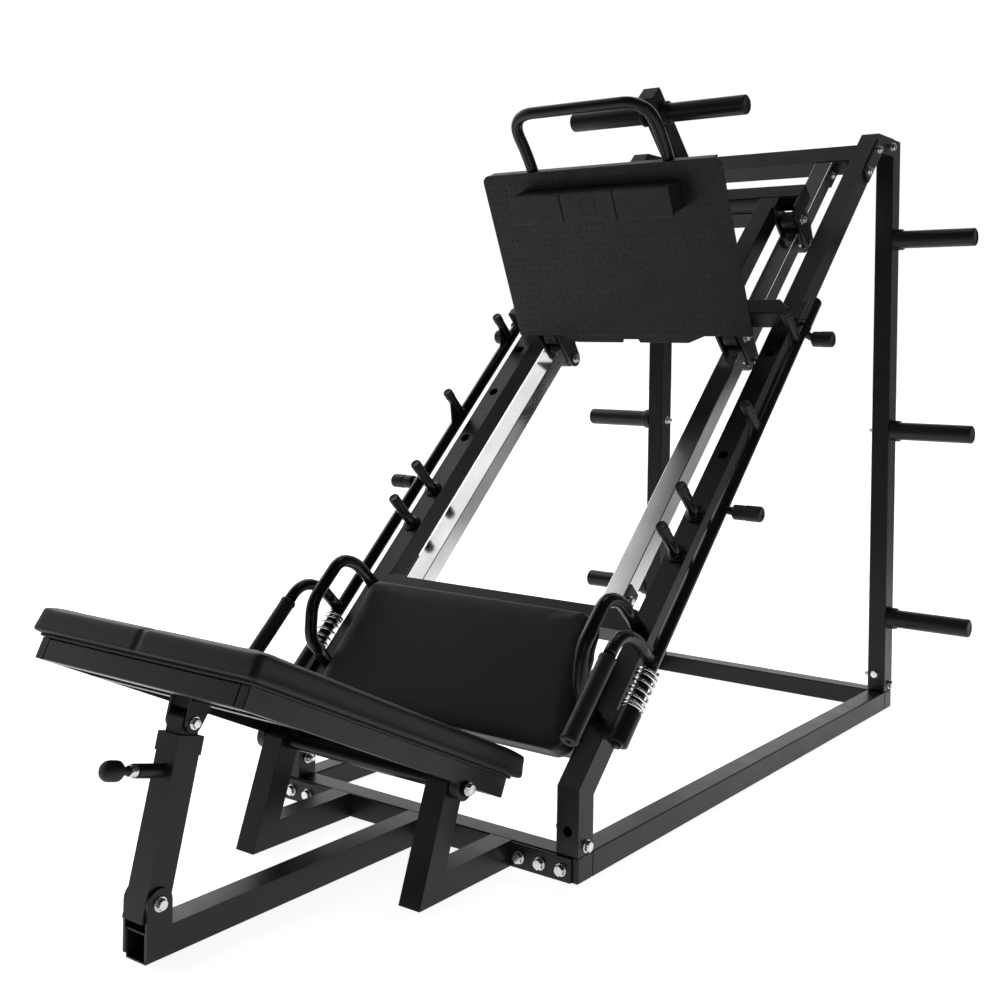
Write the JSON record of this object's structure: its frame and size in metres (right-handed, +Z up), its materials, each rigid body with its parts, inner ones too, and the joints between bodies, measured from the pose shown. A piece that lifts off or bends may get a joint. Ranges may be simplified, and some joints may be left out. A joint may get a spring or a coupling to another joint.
{
  "type": "leg press machine",
  "caption": "Plate-loaded 45 degree leg press with a sled on inclined guide rails, tilting backrest, seat, lock rods with release handles and plate storage pegs.",
  "frame": {"origin": "on the floor, under the middle of the whole machine's box", "axes": "+X to the right of a person lying on the backrest, +Y from the head end to the rear uprights, +Z up"},
  "size_m": [1.246, 2.3654, 1.6804],
  "materials": {
    "coat": "satin black powder coat",
    "gloss": "glossy black paint",
    "tread": "satin black over raised tread pattern",
    "chrome": "polished",
    "steel": "bright zinc",
    "vinyl": "black synthetic leather",
    "rubber": "black rubber",
    "board": "dark stained plywood",
    "nylon": "dark nylon"
  },
  "bodies": {
    "frame": {"rail_foot_cross": "coat", "top_rear_cross": "coat", "guide_rail_right": "chrome", "guide_rail_left": "chrome", "seat_frame": "coat", "grab_handle_right": "gloss", "grab_handle_left": "gloss", "lock_spring_right": "chrome", "lock_spring_left": "chrome", "seat_pad": "vinyl", "base_front_cross": "coat", "base_rear_cross": "coat", "base_side_right": "coat", "base_side_left": "coat", "incline_tube_right": "coat", "incline_tube_left": "coat", "rear_upright_right": "coat", "rear_upright_left": "coat", "back_support_right": "coat", "back_support_left": "coat", "centre_spine": "coat"},
    "sled": {"sled_lower_bar": "coat", "sled_top_cross": "coat", "sled_side_right": "coat", "sled_side_left": "coat", "foot_plate": "tread", "calf_block": "rubber", "sled_handle": "gloss", "sled_stand": "coat", "carriage_low_right": "coat", "carriage_low_left": "coat", "carriage_high_right": "coat", "carriage_high_left": "coat"},
    "backrest": {"backrest_rail_right": "coat", "backrest_rail_left": "coat", "backrest_head_cross": "coat", "backrest_foot_cross": "coat", "backrest_board": "board", "backrest_pad": "vinyl", "pivot_shaft": "steel", "adjust_fork": "coat"},
    "post_sleeve": {"adjust_sleeve": "coat"},
    "post_inner": {"adjust_inner": "coat"},
    "locking_pin": {"adjust_pin": "rubber"},
    "lock_right": {"lock_rod_right": "gloss", "release_grip_right": "rubber"},
    "lock_left": {"lock_rod_left": "gloss", "release_grip_left": "rubber"},
    "stop_pin_low_right": {"stop_pin_low_right": "gloss"},
    "stop_pin_low_left": {"stop_pin_low_left": "gloss"},
    "stop_pin_high_right": {"stop_pin_high_right": "gloss"},
    "stop_pin_high_left": {"stop_pin_high_left": "gloss"},
    "roller_low_top_right": {"roller_low_top_right": "nylon"},
    "roller_low_top_left": {"roller_low_top_left": "nylon"},
    "roller_low_under_right": {"roller_low_under_right": "nylon"},
    "roller_low_under_left": {"roller_low_under_left": "nylon"},
    "roller_high_top_right": {"roller_high_top_right": "nylon"},
    "roller_high_top_left": {"roller_high_top_left": "nylon"},
    "roller_high_under_right": {"roller_high_under_right": "nylon"},
    "roller_high_under_left": {"roller_high_under_left": "nylon"}
  },
  "joints": [
    {"name": "sled_slide", "type": "slide", "parent": "frame", "child": "sled", "axis": [0, 0.7071, 0.7071], "range_m": [-0.54, 0.17]},
    {"name": "roller_low_top_right_spin", "type": "hinge", "parent": "sled", "child": "roller_low_top_right", "pos_m": [0.268, 0.41143, 1.04032], "axis": [1, 0, 0], "range_deg": [-446, 1410]},
    {"name": "roller_low_top_left_spin", "type": "hinge", "parent": "sled", "child": "roller_low_top_left", "pos_m": [-0.268, 0.41143, 1.04032], "axis": [1, 0, 0], "range_deg": [-446, 1410]},
    {"name": "roller_low_under_right_spin", "type": "hinge", "parent": "sled", "child": "roller_low_under_right", "pos_m": [0.268, 0.47153, 0.98021], "axis": [1, 0, 0], "range_deg": [-1410, 446]},
    {"name": "roller_low_under_left_spin", "type": "hinge", "parent": "sled", "child": "roller_low_under_left", "pos_m": [-0.268, 0.47153, 0.98021], "axis": [1, 0, 0], "range_deg": [-1410, 446]},
    {"name": "roller_high_top_right_spin", "type": "hinge", "parent": "sled", "child": "roller_high_top_right", "pos_m": [0.268, 0.72538, 1.35427], "axis": [1, 0, 0], "range_deg": [-446, 1410]},
    {"name": "roller_high_top_left_spin", "type": "hinge", "parent": "sled", "child": "roller_high_top_left", "pos_m": [-0.268, 0.72538, 1.35427], "axis": [1, 0, 0], "range_deg": [-446, 1410]},
    {"name": "roller_high_under_right_spin", "type": "hinge", "parent": "sled", "child": "roller_high_under_right", "pos_m": [0.268, 0.78548, 1.29417], "axis": [1, 0, 0], "range_deg": [-1410, 446]},
    {"name": "roller_high_under_left_spin", "type": "hinge", "parent": "sled", "child": "roller_high_under_left", "pos_m": [-0.268, 0.78548, 1.29417], "axis": [1, 0, 0], "range_deg": [-1410, 446]},
    {"name": "lock_right_turn", "type": "hinge", "parent": "frame", "child": "lock_right", "pos_m": [0.428, 0.11409, 0.71399], "axis": [0, 0.7071, 0.7071], "range_deg": [0, 45], "stiffness_Nm_per_rad": 4, "springref_deg": -34.38},
    {"name": "lock_left_turn", "type": "hinge", "parent": "frame", "child": "lock_left", "pos_m": [-0.428, 0.11409, 0.71399], "axis": [0, -0.7071, -0.7071], "range_deg": [0, 45], "stiffness_Nm_per_rad": 4, "springref_deg": -34.38},
    {"name": "stop_pin_low_right_pull", "type": "slide", "parent": "frame", "child": "stop_pin_low_right", "axis": [0, -0.7071, 0.7071], "range_m": [0, 0.06]},
    {"name": "stop_pin_low_left_pull", "type": "slide", "parent": "frame", "child": "stop_pin_low_left", "axis": [0, -0.7071, 0.7071], "range_m": [0, 0.06]},
    {"name": "stop_pin_high_right_pull", "type": "slide", "parent": "frame", "child": "stop_pin_high_right", "axis": [0, -0.7071, 0.7071], "range_m": [0, 0.06]},
    {"name": "stop_pin_high_left_pull", "type": "slide", "parent": "frame", "child": "stop_pin_high_left", "axis": [0, -0.7071, 0.7071], "range_m": [0, 0.06]},
    {"name": "backrest_tilt", "type": "hinge", "parent": "frame", "child": "backrest", "pos_m": [0, -0.5969, 0.2], "axis": [-1, 0, 0], "range_deg": [0, 18]},
    {"name": "post_tilt", "type": "hinge", "parent": "frame", "child": "post_sleeve", "pos_m": [0, -1.0889, 0.093], "axis": [-1, 0, 0], "range_deg": [0, 6]},
    {"name": "post_extend", "type": "slide", "parent": "post_sleeve", "child": "post_inner", "axis": [0, 0.2351, 0.972], "range_m": [0, 0.141]},
    {"name": "locking_pin_pull", "type": "slide", "parent": "post_sleeve", "child": "locking_pin", "axis": [0, -0.972, 0.2351], "range_m": [0, 0.01], "stiffness_N_per_m": 600, "springref_m": -0.015}
  ],
  "couplings": [
    {"joint": "roller_low_top_right_spin", "follows": "sled_slide", "rad_per_m": -45.455},
    {"joint": "roller_low_top_left_spin", "follows": "sled_slide", "rad_per_m": -45.455},
    {"joint": "roller_low_under_right_spin", "follows": "sled_slide", "rad_per_m": 45.455},
    {"joint": "roller_low_under_left_spin", "follows": "sled_slide", "rad_per_m": 45.455},
    {"joint": "roller_high_top_right_spin", "follows": "sled_slide", "rad_per_m": -45.455},
    {"joint": "roller_high_top_left_spin", "follows": "sled_slide", "rad_per_m": -45.455},
    {"joint": "roller_high_under_right_spin", "follows": "sled_slide", "rad_per_m": 45.455},
    {"joint": "roller_high_under_left_spin", "follows": "sled_slide", "rad_per_m": 45.455},
    {"joint": "post_tilt", "follows": "backrest_tilt", "ratio": 0.31857},
    {"joint": "post_extend", "follows": "backrest_tilt", "m_per_rad": 0.44221}
  ]
}
